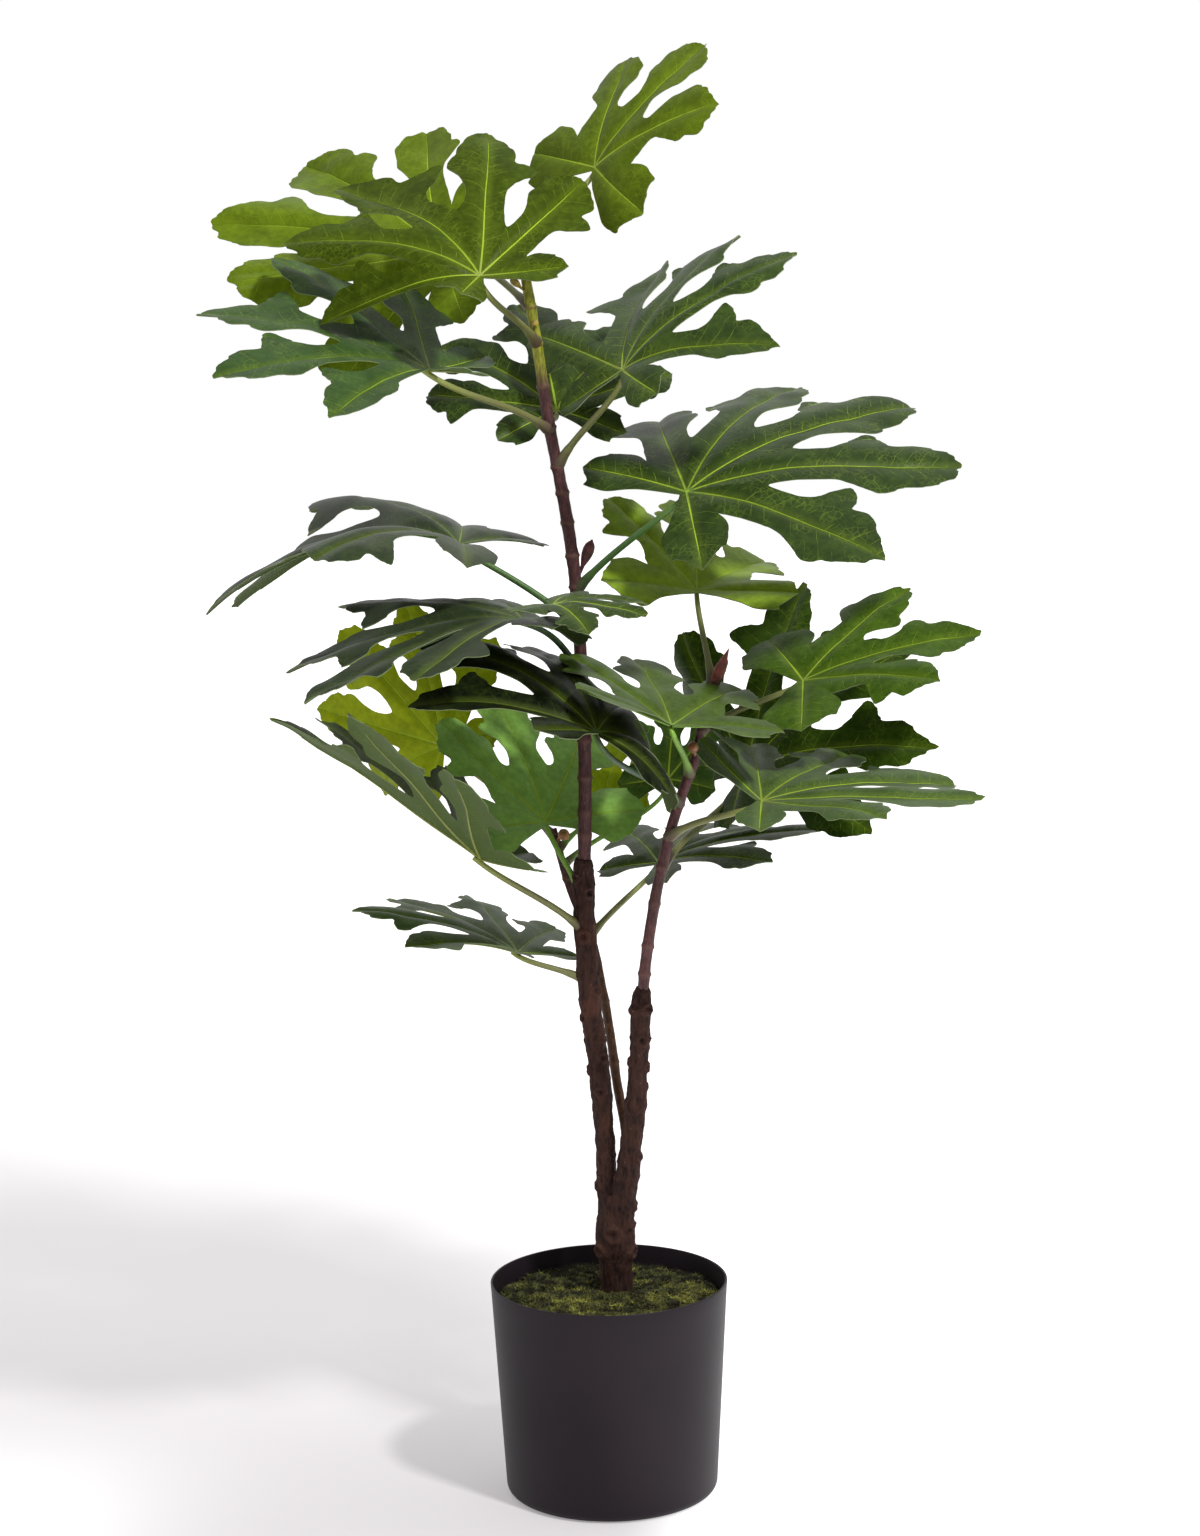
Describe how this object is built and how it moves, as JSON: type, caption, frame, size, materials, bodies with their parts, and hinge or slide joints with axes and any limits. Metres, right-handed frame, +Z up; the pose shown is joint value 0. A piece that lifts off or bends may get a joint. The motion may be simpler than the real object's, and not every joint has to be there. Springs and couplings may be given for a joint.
{
  "type": "artificial fig tree",
  "caption": "Artificial fig tree for indoors: a forked brown trunk and slim stems bearing large hand-shaped lobed leaves, in a plain black nursery pot topped with moss.",
  "frame": {"origin": "centre of the pot's flat underside", "axes": "+Z up the trunk; -Y is the front that the picture shows"},
  "size_m": [0.6115, 0.4398, 1.1836],
  "materials": {
    "pot": "matte charcoal",
    "ballast": "rough cement",
    "foam": "matte",
    "moss": "fibrous",
    "bark": "rough moulded bark",
    "stem": "satin",
    "young_leaf": "satin",
    "leaf": "satin",
    "dark_leaf": "satin"
  },
  "bodies": {
    "root": {"pot": "pot", "ballast": "ballast", "foam": "foam", "moss": "moss", "trunk": "bark", "back_stem": "stem", "main_stem": "stem", "right_stem": "stem", "leaf_01": "young_leaf", "leaf_02": "young_leaf", "leaf_03": "young_leaf", "leaf_04": "dark_leaf", "leaf_05": "dark_leaf", "leaf_06": "dark_leaf", "leaf_07": "dark_leaf", "leaf_08": "leaf", "leaf_09": "dark_leaf", "leaf_10": "dark_leaf", "leaf_11": "young_leaf", "leaf_12": "dark_leaf", "leaf_13": "leaf", "leaf_14": "dark_leaf", "leaf_15": "leaf", "leaf_16": "leaf", "leaf_17": "young_leaf", "leaf_18": "dark_leaf", "leaf_19": "leaf", "leaf_20": "dark_leaf", "leaf_21": "leaf", "leaf_22": "young_leaf", "leaf_23": "dark_leaf"}
  },
  "joints": []
}
